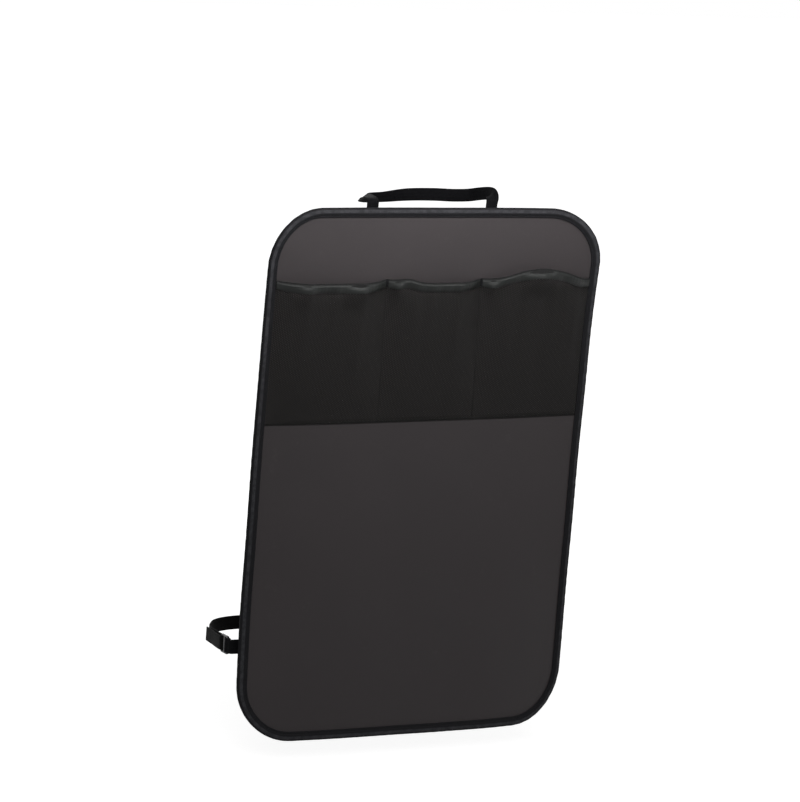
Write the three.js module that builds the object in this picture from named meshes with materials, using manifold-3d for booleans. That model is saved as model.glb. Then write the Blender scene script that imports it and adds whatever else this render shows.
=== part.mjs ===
// Seat back protector: a bound sheet that hangs on the back of a car seat, with one strip of mesh pockets,
// a webbing loop for the headrest posts and an elastic strap for the seat's waist.
// Millimetres. X runs across the sheet, Z runs up it, and its visible face looks towards -Y.
import * as THREE from 'three';
import { mergeVertices } from 'three/addons/utils/BufferGeometryUtils.js';
import Module from 'manifold-3d';

const wasm = await Module();
wasm.setup();

// Free space between pieces that touch or are sewn to each other.
const CLEARANCE = 0.3;

// The sheet, and how it lies on the seat: flat in the middle, with its sides falling back, the foot most.
const PANEL_HEIGHT = 670;
const PANEL_WIDTH = 460;
const CORNER_RADIUS = 72.5;
const SHEET_THICKNESS = 1.6;
const FLAT_HALF_WIDTH = 80;
const SIDE_FALL = 10;
const FOOT_FALL = 16;
const END_CURL = 5.5;
// The upper right and the lower left corner stand proud of the seat, from this share of the half height on.
const HEAD_LIFT = 9;
const FOOT_LIFT = 10;
const LIFT_FROM = 0.4;

// The tape folded over the sheet's edge.
const TAPE_WIDTH = 12;
const TAPE_THICKNESS = 1.2;

// The pockets: one strip of mesh in three bays, under an elastic band.
const POCKET_BELOW_CORNER = 16;
const POCKET_HEIGHT = 175.5;
const DIVIDER_X = 66;
const POCKET_DEPTH = 18;
// The share of a bay's width over which the mesh stands off on each side, before it runs level.
const POCKET_FLANK = 0.28;
const MESH_THICKNESS = 0.5;
const BAND_HEIGHT = 9.5;
const BAND_THICKNESS = 0.7;
const MOUTH_SAG = 1.2;
// Ruffles in the band: how far right of the middle, how much higher, how wide.
const RUFFLES = [
  { x: 158, rise: 8, spread: 24 },
  { x: -142, rise: 1.4, spread: 16 },
  { x: -60, rise: 1, spread: 9 },
];

// The webbing loop for the headrest posts.
const LOOP_LEFT = 88;
const LOOP_RIGHT = 77.5;
const LOOP_DEPTH = 66;
const LOOP_HEIGHT = 4;
const LOOP_WEBBING_WIDTH = 16.2;
const LOOP_WEBBING_THICKNESS = 1.3;
const LOOP_TAIL = 45;
const LOOP_TAIL_RAMP = 12;
const LOOP_TAPE_MARGIN = 3;
const LOOP_SIDE_DRIFT = 3;
const POST_DEPTH = 53;

// The waist strap: a doubled webbing tab, a ladder lock and an elastic strap.
const WAIST_DROP = 550;
const TAB_WIDTH = 18;
const TAB_THICKNESS = 1.3;
const TAB_TAIL = 34;
const TAB_REACH = 8.2;
const TAB_TURN = 3;
const LOCK_SETBACK = 14;
const LOCK_BAR = 3;
const LOCK_SLOT = 5;
const LOCK_RAIL = 2;
const LOCK_SIDE_PLAY = 0.5;
const LOCK_CORNER = 2;
const ELASTIC_WIDTH = 18;
const ELASTIC_THICKNESS = 1.4;
const ELASTIC_TAIL = 46;
const ELASTIC_RISE = 1.5;
const WAIST_DEPTH = 138;
const RIGHT_TAIL = 32;
const RIGHT_INSET = 6;

// How finely the curved shapes are cut into facets.
const CORNER_STEPS = 8;
const STEP_LENGTH = 15;
const SHEET_ROWS = 24;
const BAY_COLUMNS = 12;
const MESH_ROWS = 10;
const WRAP_STEPS = 8;

const HALF_SHEET = SHEET_THICKNESS / 2;
const TAPE_INNER = HALF_SHEET + CLEARANCE;
const TAPE_OUTER = TAPE_INNER + TAPE_THICKNESS;
const MOUTH_Z = -(CORNER_RADIUS + POCKET_BELOW_CORNER);
const POCKET_SIDE = PANEL_WIDTH / 2 - TAPE_WIDTH - CLEARANCE;
const BAY_EDGES = [-POCKET_SIDE, -DIVIDER_X, DIVIDER_X, POCKET_SIDE];

const clamp = THREE.MathUtils.clamp;

// How far the sheet's middle surface lies behind its flat centre.
function drape(x, z) {
  const side = clamp((Math.abs(x) - FLAT_HALF_WIDTH) / (PANEL_WIDTH / 2 - FLAT_HALF_WIDTH), 0, 1) ** 2;
  const up = clamp((z + PANEL_HEIGHT / 2) / (PANEL_HEIGHT / 2), -1, 1);
  const fall = SIDE_FALL - FOOT_FALL * up - END_CURL * up * up;
  const towardsCorner = clamp((Math.sign(x) * up - LIFT_FROM) / (1 - LIFT_FROM), 0, 1) ** 2;
  return side * (fall - (x > 0 ? HEAD_LIFT : FOOT_LIFT) * towardsCorner);
}

// Evenly spaced values from start to end, no further apart than STEP_LENGTH.
function spaced(start, end) {
  const count = Math.max(1, Math.ceil(Math.abs(end - start) / STEP_LENGTH));
  return Array.from({ length: count + 1 }, (_, i) => start + ((end - start) * i) / count);
}

function toSolid(geometry) {
  const bare = geometry.clone();
  bare.deleteAttribute('normal');
  bare.deleteAttribute('uv');
  const merged = mergeVertices(bare);
  const vertProperties = new Float32Array(merged.attributes.position.array);
  const triVerts = new Uint32Array(merged.index.array);
  return new wasm.Manifold(new wasm.Mesh({ numProp: 3, vertProperties, triVerts }));
}

// Cuts each tool's shape out of a body.
function cutAway(body, tools) {
  const solid = tools.reduce((rest, tool) => rest.subtract(toSolid(tool)), toSolid(body));
  const { vertProperties, triVerts } = solid.getMesh();
  const geometry = new THREE.BufferGeometry();
  geometry.setAttribute('position', new THREE.BufferAttribute(vertProperties, 3));
  geometry.setIndex(new THREE.BufferAttribute(triVerts, 1));
  geometry.computeVertexNormals();
  return geometry;
}

// Turns points and triangles into a closed body whose faces look outwards.
function closedBody(points, triangles) {
  let volume = 0;
  for (let i = 0; i < triangles.length; i += 3) {
    const [a, b, c] = [points[triangles[i]], points[triangles[i + 1]], points[triangles[i + 2]]];
    volume += a.dot(b.clone().cross(c));
  }
  const geometry = new THREE.BufferGeometry();
  const flat = points.flatMap((point) => [point.x, point.y, point.z]);
  geometry.setAttribute('position', new THREE.Float32BufferAttribute(flat, 3));
  geometry.setIndex(volume < 0 ? triangles.reverse() : triangles);
  geometry.computeVertexNormals();
  return geometry;
}

// A sheet of cloth: at(i, j, side) gives a point of its front, side 0, or its back, side 1.
function clothBody(columns, rows, at) {
  const points = [];
  for (const side of [0, 1]) {
    for (let i = 0; i <= columns; i += 1) {
      for (let j = 0; j <= rows; j += 1) points.push(at(i, j, side));
    }
  }
  const index = (i, j, side) => (side * (columns + 1) + i) * (rows + 1) + j;
  const triangles = [];
  const quad = (a, b, c, d) => triangles.push(a, b, c, a, c, d);
  for (let i = 0; i < columns; i += 1) {
    for (let j = 0; j < rows; j += 1) {
      quad(index(i, j, 0), index(i + 1, j, 0), index(i + 1, j + 1, 0), index(i, j + 1, 0));
      quad(index(i, j + 1, 1), index(i + 1, j + 1, 1), index(i + 1, j, 1), index(i, j, 1));
    }
    quad(index(i + 1, 0, 0), index(i, 0, 0), index(i, 0, 1), index(i + 1, 0, 1));
    quad(index(i, rows, 0), index(i + 1, rows, 0), index(i + 1, rows, 1), index(i, rows, 1));
  }
  for (let j = 0; j < rows; j += 1) {
    quad(index(0, j, 0), index(0, j + 1, 0), index(0, j + 1, 1), index(0, j, 1));
    quad(index(columns, j + 1, 0), index(columns, j, 0), index(columns, j, 1), index(columns, j + 1, 1));
  }
  return closedBody(points, triangles);
}

// Sweeps a flat section through stations: place(station, point) gives the point in space.
function sweptBody(section, stations, place, closed = false) {
  const size = section.length;
  const points = stations.flatMap((station) => section.map((point) => place(station, point)));
  const triangles = [];
  const rounds = closed ? stations.length : stations.length - 1;
  for (let i = 0; i < rounds; i += 1) {
    const here = i * size;
    const next = ((i + 1) % stations.length) * size;
    for (let j = 0; j < size; j += 1) {
      const k = (j + 1) % size;
      triangles.push(here + j, next + j, next + k, here + j, next + k, here + k);
    }
  }
  if (!closed) {
    const last = (stations.length - 1) * size;
    for (const [a, b, c] of THREE.ShapeUtils.triangulateShape(section, [])) {
      triangles.push(a, b, c, last + c, last + b, last + a);
    }
  }
  return closedBody(points, triangles);
}

// A strap of flat webbing: each key holds a point of its middle line and the way its width points.
function strapBody(keys, width, thickness, stepsPerKey = 1) {
  const curve = new THREE.CatmullRomCurve3(keys.map((key) => key.point), false, 'centripetal');
  const count = (keys.length - 1) * stepsPerKey;
  const stations = Array.from({ length: count + 1 }, (_, i) => {
    const place = i / stepsPerKey;
    const from = Math.min(Math.floor(place), keys.length - 2);
    const tangent = curve.getTangent(i / count);
    const across = keys[from].across.clone().lerp(keys[from + 1].across, place - from);
    across.addScaledVector(tangent, -across.dot(tangent)).normalize();
    const normal = new THREE.Vector3().crossVectors(tangent, across);
    return { centre: curve.getPoint(i / count), across, normal };
  });
  const section = [[-1, -1], [1, -1], [1, 1], [-1, 1]]
    .map(([a, b]) => new THREE.Vector2((a * width) / 2, (b * thickness) / 2));
  const place = (station, point) => station.centre.clone()
    .addScaledVector(station.across, point.x)
    .addScaledVector(station.normal, point.y);
  return sweptBody(section, stations, place);
}

function key(x, y, z, acrossX, acrossY, acrossZ) {
  return { point: new THREE.Vector3(x, y, z), across: new THREE.Vector3(acrossX, acrossY, acrossZ) };
}

// The columns of the sheet from left to right, with half its height at each, inside a rounded outline.
function sheetColumns(inset) {
  const radius = CORNER_RADIUS - inset;
  const straight = PANEL_WIDTH / 2 - inset - radius;
  const halfHeight = PANEL_HEIGHT / 2 - inset;
  const corner = Array.from({ length: CORNER_STEPS }, (_, i) => {
    const angle = ((i + 1) / CORNER_STEPS) * (Math.PI / 2);
    return { x: straight + radius * Math.sin(angle), half: halfHeight - radius + radius * Math.cos(angle) };
  });
  const left = corner.map((column) => ({ x: -column.x, half: column.half })).reverse();
  const middle = spaced(-straight, straight).map((x) => ({ x, half: halfHeight }));
  return [...left, ...middle, ...corner];
}

function panelGeometry() {
  const columns = sheetColumns(TAPE_THICKNESS + CLEARANCE);
  return clothBody(columns.length - 1, SHEET_ROWS, (i, j, side) => {
    const { x, half } = columns[i];
    const z = -PANEL_HEIGHT / 2 + half * (1 - (2 * j) / SHEET_ROWS);
    return new THREE.Vector3(x, drape(x, z) + (side ? HALF_SHEET : -HALF_SHEET), z);
  });
}

// Stations round the panel's outline, each with the direction that points into the panel.
function outlineStations() {
  const right = PANEL_WIDTH / 2 - CORNER_RADIUS;
  const top = -CORNER_RADIUS;
  const foot = -PANEL_HEIGHT + CORNER_RADIUS;
  const corners = [
    { x: right, z: top, start: 90 },
    { x: right, z: foot, start: 0 },
    { x: -right, z: foot, start: -90 },
    { x: -right, z: top, start: -180 },
  ];
  const arcs = corners.map(({ x, z, start }) => Array.from({ length: CORNER_STEPS + 1 }, (_, i) => {
    const angle = THREE.MathUtils.degToRad(start - (90 * i) / CORNER_STEPS);
    const [cos, sin] = [Math.cos(angle), Math.sin(angle)];
    return { x: x + CORNER_RADIUS * cos, z: z + CORNER_RADIUS * sin, inX: -cos, inZ: -sin };
  }));
  return arcs.flatMap((arc, i) => {
    const from = arc[CORNER_STEPS];
    const to = arcs[(i + 1) % arcs.length][0];
    const length = Math.hypot(to.x - from.x, to.z - from.z);
    const side = spaced(0, length).slice(1, -1).map((along) => ({
      ...from,
      x: from.x + ((to.x - from.x) * along) / length,
      z: from.z + ((to.z - from.z) * along) / length,
    }));
    return [...arc, ...side];
  });
}

// The tape's section: x is how far in from the panel's outline, y is how far behind the middle surface.
function tapeSection() {
  const bendSteps = 6;
  const bend = Array.from({ length: bendSteps + 1 }, (_, i) => {
    const angle = (Math.PI * i) / bendSteps;
    return new THREE.Vector2(TAPE_OUTER * (1 - Math.sin(angle)), TAPE_OUTER * Math.cos(angle));
  });
  return [
    new THREE.Vector2(TAPE_WIDTH, TAPE_OUTER),
    ...bend,
    new THREE.Vector2(TAPE_WIDTH, -TAPE_OUTER),
    new THREE.Vector2(TAPE_WIDTH, -TAPE_INNER),
    new THREE.Vector2(TAPE_THICKNESS, -TAPE_INNER),
    new THREE.Vector2(TAPE_THICKNESS, TAPE_INNER),
    new THREE.Vector2(TAPE_WIDTH, TAPE_INNER),
  ];
}

function bindingGeometry() {
  return sweptBody(tapeSection(), outlineStations(), (station, point) => {
    const x = station.x + station.inX * point.x;
    const z = station.z + station.inZ * point.x;
    return new THREE.Vector3(x, drape(x, z) + point.y, z);
  }, true);
}

// How far the pocket stands off at x: 0 at a stitched line, 1 over the level middle of a bay.
function bulge(x) {
  const to = BAY_EDGES.findIndex((edge, i) => i > 0 && x <= edge);
  const width = BAY_EDGES[to] - BAY_EDGES[to - 1];
  const fromLine = Math.min(x - BAY_EDGES[to - 1], BAY_EDGES[to] - x) / width;
  return Math.sin((Math.PI / 2) * clamp(fromLine / POCKET_FLANK, 0, 1));
}

// The height of the pocket's mouth.
function mouthZ(x) {
  const ruffles = RUFFLES.map((ruffle) => ruffle.rise * Math.exp(-(((x - ruffle.x) / ruffle.spread) ** 2)));
  return MOUTH_Z + bulge(x) * (ruffles.reduce((sum, rise) => sum + rise) - MOUTH_SAG);
}

// Where the mesh's middle surface lies: sewn flat at the foot, and standing off the sheet at the mouth.
function meshY(x, z) {
  const foot = MOUTH_Z - POCKET_HEIGHT;
  const open = clamp((z - foot) / (mouthZ(x) - foot), 0, 1);
  const standoff = CLEARANCE + open * (BAND_THICKNESS + CLEARANCE + POCKET_DEPTH * bulge(x));
  return drape(x, z) - HALF_SHEET - standoff - MESH_THICKNESS / 2;
}

// The pocket's columns, the same number in each bay.
function pocketColumns() {
  const bays = [0, 1, 2].flatMap((bay) => Array.from({ length: BAY_COLUMNS }, (_, i) => (
    BAY_EDGES[bay] + ((BAY_EDGES[bay + 1] - BAY_EDGES[bay]) * i) / BAY_COLUMNS
  )));
  return [...bays, POCKET_SIDE];
}

function meshGeometry() {
  const columns = pocketColumns();
  const foot = MOUTH_Z - POCKET_HEIGHT;
  return clothBody(columns.length - 1, MESH_ROWS, (i, j, side) => {
    const x = columns[i];
    const top = mouthZ(x) - BAND_THICKNESS - CLEARANCE;
    const z = foot + ((top - foot) * j) / MESH_ROWS;
    return new THREE.Vector3(x, meshY(x, z) + (side ? MESH_THICKNESS : -MESH_THICKNESS) / 2, z);
  });
}

// The band is folded over the mesh's edge: x is how far in front of the mesh, y is how far below the mouth.
function bandGeometry() {
  const inner = MESH_THICKNESS / 2 + CLEARANCE;
  const outer = inner + BAND_THICKNESS;
  const section = [
    [outer, -BAND_HEIGHT], [outer, -BAND_THICKNESS], [inner, 0], [-inner, 0], [-outer, -BAND_THICKNESS],
    [-outer, -BAND_HEIGHT], [-inner, -BAND_HEIGHT], [-inner, -BAND_THICKNESS], [inner, -BAND_THICKNESS],
    [inner, -BAND_HEIGHT],
  ].map(([x, y]) => new THREE.Vector2(x, y));
  return sweptBody(section, pocketColumns(), (x, point) => {
    const z = mouthZ(x) + point.y;
    return new THREE.Vector3(x, meshY(x, z) - point.x, z);
  });
}

// The keys of a strap end that is sewn to the panel's back and passes behind the tape to the top edge.
function loopTail(x) {
  const onSheet = HALF_SHEET + CLEARANCE + LOOP_WEBBING_THICKNESS / 2;
  const onTape = TAPE_OUTER + CLEARANCE + LOOP_WEBBING_THICKNESS / 2;
  const clearOfTape = TAPE_WIDTH + LOOP_TAPE_MARGIN;
  return [
    key(x, drape(x, -LOOP_TAIL) + onSheet, -LOOP_TAIL, 1, 0, 0),
    key(x, drape(x, -clearOfTape - LOOP_TAIL_RAMP) + onSheet, -clearOfTape - LOOP_TAIL_RAMP, 1, 0, 0),
    key(x, drape(x, -clearOfTape) + onTape, -clearOfTape, 1, 0, 0),
    key(x, drape(x, 0) + onTape, 0, 1, 0, 0),
  ];
}

// The loop leaves the top edge, goes back past both posts, turning on edge, and crosses behind them.
function headrestStrapGeometry() {
  const left = -LOOP_LEFT;
  const right = LOOP_RIGHT;
  const [far, z] = [LOOP_DEPTH, LOOP_HEIGHT];
  const keys = [
    ...loopTail(left),
    key(left, 0.08 * far, z + 4, 1, 0, 0),
    key(left, 0.16 * far, z + 6.4, 1, 0, 0),
    key(left + 0.3 * LOOP_SIDE_DRIFT, 0.36 * far, z + 6.2, 0.98, 0, 0.2),
    key(left + 1.6 * LOOP_SIDE_DRIFT, 0.58 * far, z + 4, 0.85, -0.1, 0.5),
    key(left + 3.5 * LOOP_SIDE_DRIFT, 0.8 * far, z + 1.5, 0.6, -0.45, 0.7),
    key(left + 7 * LOOP_SIDE_DRIFT, 0.94 * far, z, 0.25, -0.5, 0.82),
    key(left + 14 * LOOP_SIDE_DRIFT, 0.99 * far, z + 0.3, 0, -0.5, 0.87),
    key(left + 26 * LOOP_SIDE_DRIFT, far, z + 3.3, 0, -0.1, 1),
    key(right - 17 * LOOP_SIDE_DRIFT, far, z + 3.6, 0, 0, 1),
    key(right - 7 * LOOP_SIDE_DRIFT, 0.99 * far, z + 2.6, 0, 0, 1),
    key(right - LOOP_SIDE_DRIFT, 0.9 * far, z + 3.8, 0, 0, 1),
    key(right + LOOP_SIDE_DRIFT, 0.73 * far, z + 6.6, 0, 0, 1),
    key(right + 2 * LOOP_SIDE_DRIFT, 0.52 * far, z + 9.3, 0, 0, 1),
    key(right + 2.2 * LOOP_SIDE_DRIFT, 0.32 * far, z + 10.8, 0.2, 0, 1),
    key(right + 1.3 * LOOP_SIDE_DRIFT, 0.18 * far, z + 10, 0.75, 0, 0.65),
    key(right + 0.4 * LOOP_SIDE_DRIFT, 0.09 * far, z + 4.5, 1, 0, 0.15),
    ...loopTail(right).reverse(),
  ];
  return strapBody(keys, LOOP_WEBBING_WIDTH, LOOP_WEBBING_THICKNESS, 3);
}

// The ladder lock stands on edge beside the panel's left edge, and its bars lie at these depths.
const WAIST_Z = -WAIST_DROP;
const LOCK_X = -(PANEL_WIDTH / 2 + TAB_REACH);
const LOCK_FIRST_BAR = drape(-PANEL_WIDTH / 2, WAIST_Z) + LOCK_SETBACK;
const LOCK_PITCH = LOCK_BAR + LOCK_SLOT;
const LOCK_LAST_BAR = LOCK_FIRST_BAR + 2 * LOCK_PITCH;
const LOCK_LENGTH = 3 * LOCK_BAR + 2 * LOCK_SLOT;
const LOCK_OPENING = Math.max(TAB_WIDTH, ELASTIC_WIDTH) + 2 * LOCK_SIDE_PLAY;

// How far a strap's middle line stays from the centre of the square bar that it goes round.
function wrapRadius(thickness) {
  return LOCK_BAR * Math.SQRT1_2 + CLEARANCE + thickness / 2;
}

// Keys of a strap that goes round an upright bar, between two angles in the XY plane.
function wrap(x, y, z, radius, startDegrees, endDegrees) {
  return Array.from({ length: WRAP_STEPS + 1 }, (_, i) => {
    const angle = THREE.MathUtils.degToRad(startDegrees + ((endDegrees - startDegrees) * i) / WRAP_STEPS);
    return key(x + radius * Math.cos(angle), y + radius * Math.sin(angle), z, 0, 0, 1);
  });
}

// One layer of a strap sewn behind the tape, from x near the edge inwards.
function sewnLayer(fromX, toX, offset) {
  return spaced(fromX, toX).map((x) => key(x, drape(x, WAIST_Z) + offset, WAIST_Z, 0, 0, 1));
}

// The tab leaves the sheet's edge, turns back beside the seat, and returns round the lock's first bar.
function tabGeometry() {
  const halfStep = (TAB_THICKNESS + CLEARANCE) / 2;
  const nearLayer = TAPE_OUTER + CLEARANCE + TAB_THICKNESS / 2;
  const edge = -PANEL_WIDTH / 2;
  const inner = edge + TAB_TAIL;
  const turnX = LOCK_X + TAB_TURN;
  const turnY = drape(edge, WAIST_Z) + nearLayer + halfStep + TAB_TURN;
  const keys = [
    ...sewnLayer(inner, edge, nearLayer),
    ...wrap(turnX, turnY, WAIST_Z, TAB_TURN + halfStep, -90, -180),
    ...wrap(LOCK_X, LOCK_FIRST_BAR, WAIST_Z, wrapRadius(TAB_THICKNESS), 180, 0),
    ...wrap(turnX, turnY, WAIST_Z, TAB_TURN - halfStep, -180, -90),
    ...sewnLayer(edge, inner, nearLayer + 2 * halfStep),
  ];
  return strapBody(keys, TAB_WIDTH, TAB_THICKNESS, 2);
}

// The ladder lock: a rounded frame with two slots, extruded to its thickness.
function lockGeometry() {
  const halfLength = LOCK_LENGTH / 2;
  const halfWidth = LOCK_OPENING / 2 + LOCK_RAIL;
  const corners = [[1, 1, 0], [-1, 1, 90], [-1, -1, 180], [1, -1, 270]];
  const outline = new THREE.Shape(corners.flatMap(([alongSign, acrossSign, start]) => (
    [0, 30, 60, 90].map((turn) => {
      const angle = THREE.MathUtils.degToRad(start + turn);
      const x = alongSign * (halfLength - LOCK_CORNER) + LOCK_CORNER * Math.cos(angle);
      const y = acrossSign * (halfWidth - LOCK_CORNER) + LOCK_CORNER * Math.sin(angle);
      return new THREE.Vector2(x, y);
    })
  )));
  const plate = new THREE.ExtrudeGeometry(outline, { depth: LOCK_BAR, bevelEnabled: false });
  plate.translate(0, 0, -LOCK_BAR / 2);
  const slots = [-LOCK_PITCH / 2, LOCK_PITCH / 2].map((centre) => (
    new THREE.BoxGeometry(LOCK_SLOT, LOCK_OPENING, 2 * LOCK_BAR).translate(centre, 0, 0)
  ));
  return cutAway(plate, slots);
}

// The elastic doubles back round the lock's last bar, and runs round the seat to the panel's right edge.
function seatStrapGeometry() {
  const radius = wrapRadius(ELASTIC_THICKNESS);
  const beside = LOCK_X + radius;
  const layer = ELASTIC_THICKNESS + CLEARANCE;
  const start = LOCK_LAST_BAR;
  const top = WAIST_Z + ELASTIC_RISE;
  const right = PANEL_WIDTH / 2 - RIGHT_INSET;
  const sewn = TAPE_OUTER + CLEARANCE + ELASTIC_THICKNESS / 2;
  const depth = WAIST_DEPTH;
  const rise = (y) => WAIST_Z + ELASTIC_RISE * clamp((y - start) / (depth - start), 0, 1);
  const upright = (x, y, z = rise(y)) => key(x, y, z, 0, 0, 1);
  const turn = 0.12 * depth;
  const keys = [
    upright(LOCK_X - radius + 1.5 * layer, start + ELASTIC_TAIL),
    upright(LOCK_X - radius + 1.2 * layer, start + 0.75 * ELASTIC_TAIL),
    upright(LOCK_X - radius + 0.8 * layer, start + 0.5 * ELASTIC_TAIL),
    upright(LOCK_X - radius + 0.2 * layer, start + 0.25 * ELASTIC_TAIL),
    ...wrap(LOCK_X, start, WAIST_Z, radius, -180, 0),
    upright(beside + 0.1 * layer, start + 0.25 * ELASTIC_TAIL),
    upright(beside - 0.1 * layer, start + 0.5 * ELASTIC_TAIL),
    upright(beside - 0.1 * layer, start + 0.75 * ELASTIC_TAIL),
    upright(beside + 0.3 * layer, start + ELASTIC_TAIL),
    upright(beside + 0.5 * turn, depth - 1.8 * turn),
    upright(beside + 1.3 * turn, depth - 0.8 * turn),
    upright(beside + 2.6 * turn, depth - 0.2 * turn),
    upright(beside + 5 * turn, depth, top),
    upright(0, depth + 1.5, top),
    upright(right - 5 * turn, depth, top),
    upright(right - 2.6 * turn, depth - 0.2 * turn, top),
    upright(right - 1.3 * turn, depth - 0.8 * turn, top),
    upright(right - 0.4 * turn, depth - 2 * turn, top),
    upright(right, 0.6 * depth, WAIST_Z + 0.7 * ELASTIC_RISE),
    upright(right + 1, 0.42 * depth, WAIST_Z + 0.3 * ELASTIC_RISE),
    upright(right - 0.4, drape(right, WAIST_Z) + sewn + 7, WAIST_Z),
    upright(right - 3.2, drape(right, WAIST_Z) + sewn + 2, WAIST_Z),
    ...sewnLayer(right - 9, right - RIGHT_TAIL, sewn),
  ];
  return strapBody(keys, ELASTIC_WIDTH, ELASTIC_THICKNESS, 2);
}

function piece(name, geometry, color, roughness) {
  const mesh = new THREE.Mesh(geometry, new THREE.MeshStandardMaterial({ color, roughness, metalness: 0 }));
  mesh.name = name;
  return mesh;
}

const lock = piece('strap_adjuster', lockGeometry(), 0x121416, 0.35);
lock.position.set(LOCK_X, LOCK_FIRST_BAR + LOCK_PITCH, WAIST_Z);
lock.rotation.set(Math.PI / 2, 0, Math.PI / 2, 'ZXY');

const protector = new THREE.Group();
protector.name = 'seat_back_protector';
protector.add(
  piece('panel', panelGeometry(), 0x373434, 0.55),
  piece('edge_binding', bindingGeometry(), 0x26272a, 0.8),
  piece('pocket_mesh', meshGeometry(), 0x1f1f1e, 0.85),
  piece('pocket_band', bandGeometry(), 0x3a3e3d, 0.4),
  piece('headrest_strap', headrestStrapGeometry(), 0x0d0d0d, 0.8),
  piece('strap_tab', tabGeometry(), 0x0d0e10, 0.8),
  lock,
  piece('seat_strap', seatStrapGeometry(), 0x131313, 0.75),
);
// The origin lies midway between the headrest posts, at the height of the loop.
protector.position.set(0, -POST_DEPTH, -LOOP_HEIGHT);

export default protector;
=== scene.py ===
import math

import bpy
import numpy as np
from mathutils import Matrix, Vector


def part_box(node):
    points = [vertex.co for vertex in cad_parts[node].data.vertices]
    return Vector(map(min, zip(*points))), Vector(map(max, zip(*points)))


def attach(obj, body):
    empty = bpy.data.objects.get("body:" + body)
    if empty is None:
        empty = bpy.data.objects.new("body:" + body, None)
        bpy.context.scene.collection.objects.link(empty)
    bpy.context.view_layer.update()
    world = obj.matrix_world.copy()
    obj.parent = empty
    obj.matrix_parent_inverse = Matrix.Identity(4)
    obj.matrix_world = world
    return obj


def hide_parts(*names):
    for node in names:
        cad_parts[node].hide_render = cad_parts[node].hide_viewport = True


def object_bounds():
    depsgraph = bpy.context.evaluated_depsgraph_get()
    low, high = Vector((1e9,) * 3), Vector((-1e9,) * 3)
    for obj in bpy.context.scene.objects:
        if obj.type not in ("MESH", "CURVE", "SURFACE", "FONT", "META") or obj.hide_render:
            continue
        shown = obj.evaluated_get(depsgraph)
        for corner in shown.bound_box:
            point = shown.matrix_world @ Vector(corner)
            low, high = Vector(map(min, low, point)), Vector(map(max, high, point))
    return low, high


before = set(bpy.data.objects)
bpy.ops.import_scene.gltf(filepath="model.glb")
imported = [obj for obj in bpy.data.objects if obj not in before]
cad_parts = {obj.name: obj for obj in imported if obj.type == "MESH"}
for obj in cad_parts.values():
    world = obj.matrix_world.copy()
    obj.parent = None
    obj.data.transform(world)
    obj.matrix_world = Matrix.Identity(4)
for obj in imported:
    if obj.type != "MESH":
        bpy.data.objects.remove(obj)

CAD_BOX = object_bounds()
MM = 0.001
PIECE_GAP = 0.3 * MM

# The sheet.
SHEET_LOW, SHEET_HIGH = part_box("edge_binding")
WIDTH = SHEET_HIGH.x - SHEET_LOW.x
HEIGHT = SHEET_HIGH.z - SHEET_LOW.z
TOP = SHEET_HIGH.z
MIDDLE_Z = TOP - HEIGHT / 2
MIDDLE_Y = -53 * MM
CORNER_RADIUS = 72.5 * MM
SHEET_THICKNESS = 1.6 * MM
HALF_SHEET = SHEET_THICKNESS / 2

# How the sheet lies: flat down its middle, and falling back towards its sides, more so at its foot. The upper
# right and lower left corners come forward again.
FLAT_HALF_WIDTH = 80 * MM
SIDE_FALL = 10 * MM
FOOT_FALL = 16 * MM
END_CURL = 5.5 * MM
HEAD_LIFT = 9 * MM
FOOT_LIFT = 10 * MM
LIFT_FROM = 0.4

# The binding tape. Its inner and outer faces are measured from the sheet's middle.
TAPE_WIDTH = 12 * MM
TAPE_THICKNESS = 1.2 * MM
TAPE_INNER = HALF_SHEET + PIECE_GAP
TAPE_OUTER = TAPE_INNER + TAPE_THICKNESS
TAPE_CROWN = 1.3 * MM
TAPE_CROWN_POWER = 0.7
TAPE_SEAM = 2.2 * MM
TAPE_SEAM_DEPTH = 0.7 * MM
TAPE_SEAM_WIDTH = 1.1 * MM
# Where the tape's painted highlight, a pale stripe along its crown, fades in and out, from its inner edge.
TAPE_HIGHLIGHT_START = (5.2 * MM, 6.8 * MM)
TAPE_HIGHLIGHT_END = (9.2 * MM, 10.8 * MM)

# The pockets.
MOUTH_DROP = 16 * MM
MOUTH_Z = TOP - CORNER_RADIUS - MOUTH_DROP
POCKET_HEIGHT = 179.7 * MM
FOOT_SLOPE = 0.007
DIVIDER_X = 66 * MM
POCKET_SIDE = WIDTH / 2 - TAPE_WIDTH - PIECE_GAP
BAY_EDGES = np.array([-POCKET_SIDE, -DIVIDER_X, DIVIDER_X, POCKET_SIDE])
POCKET_DEPTH = 18 * MM
POCKET_FLANK = 0.28
NET_THICKNESS = 0.5 * MM
NET_HEM = 6 * MM
NET_HEM_GAP = 0.2 * MM
NET_HOLE_PITCH = 1.9 * MM
# The net's soft folds: how deep, how far apart, and how they lean with height.
NET_FOLDS = [(0.5 * MM, 34 * MM, 5), (0.35 * MM, 19 * MM, -9)]

# The elastic band along the pockets' mouths. It is held down at the stitched lines and free between them.
BAND_HEIGHT = 12.3 * MM
BAND_THICKNESS = 0.7 * MM
BAND_EDGE = 0.3 * MM
BAND_CROWN = 0.8 * MM
BAND_CROWN_POWER = 1.6
BAND_PINCH = 0.1
BAND_NARROWING = 0.2
BAND_FREE_FROM = 14 * MM
# The band's top lip, left without a crown; its material paints it dark as the shade in the pocket's mouth.
BAND_LIP = 4 * MM
GATHER_DEPTH = 0.08 * MM
GATHER_PITCH = 5.2 * MM
MOUTH_SAG = 2.4 * MM
# Ruffles in the band: how far right of the middle, how much higher, how wide.
RUFFLES = [(144 * MM, 17 * MM, 57 * MM), (-46 * MM, 5.5 * MM, 16 * MM)]
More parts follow.
